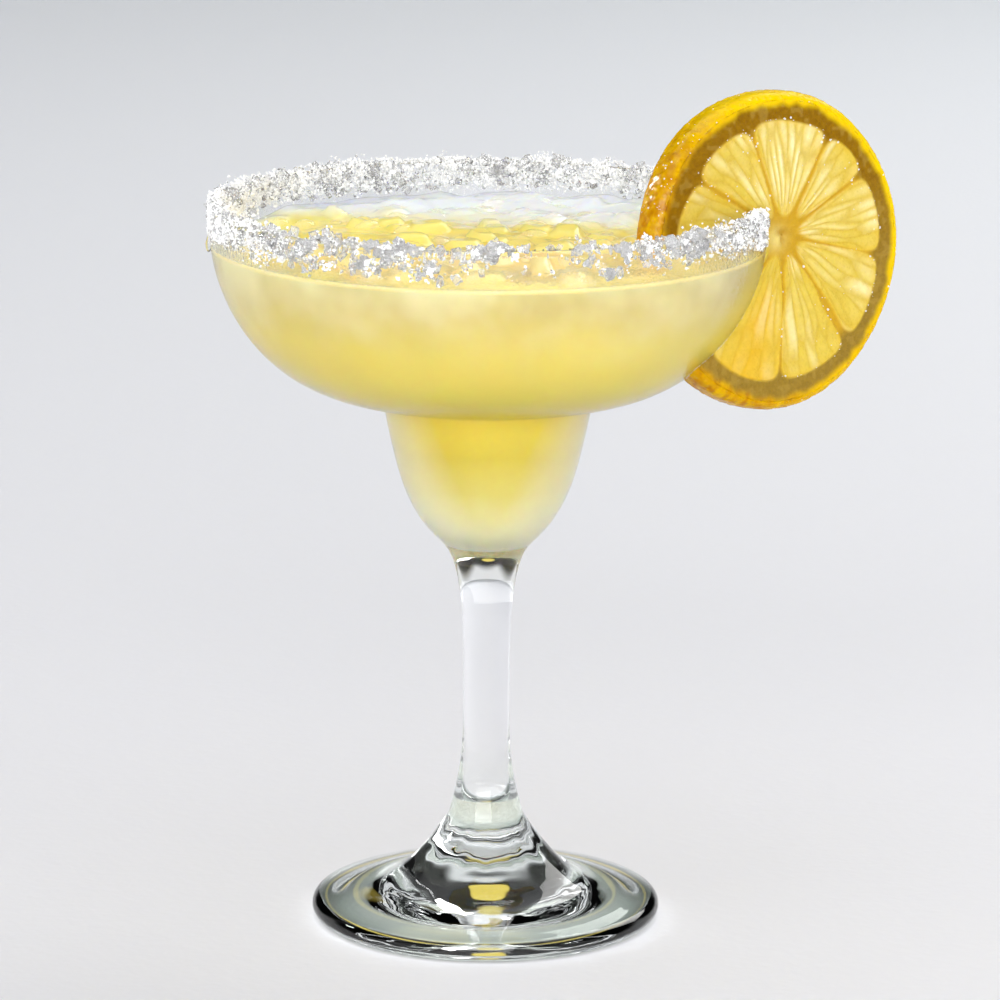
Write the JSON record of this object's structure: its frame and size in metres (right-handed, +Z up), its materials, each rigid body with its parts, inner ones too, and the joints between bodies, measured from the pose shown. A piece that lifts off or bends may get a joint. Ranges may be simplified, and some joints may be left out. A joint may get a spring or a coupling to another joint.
{
  "type": "margarita cocktail",
  "caption": "Margarita in a stemmed glass with a wide bowl over a small bulb: cloudy yellow drink, crushed ice on top, a salted rim and a lemon wheel pushed over the edge.",
  "frame": {"origin": "on the glass's axis, at the underside of its foot", "axes": "+Z up along the glass's axis; the viewer of the picture looks along +Y, with the lemon wheel on the +X side"},
  "size_m": [0.1358, 0.1106, 0.1656],
  "materials": {
    "clear_glass": "clear, polished",
    "drink_yellow": "cloudy liquid",
    "ice_pale": "wet ice",
    "salt_white": "coarse grains",
    "lemon_yellow": "wet cut fruit"
  },
  "bodies": {
    "root": {"glass": "clear_glass", "drink": "drink_yellow", "crushed_ice": "ice_pale", "salt_rim": "salt_white", "lemon_wheel": "lemon_yellow"}
  },
  "joints": []
}
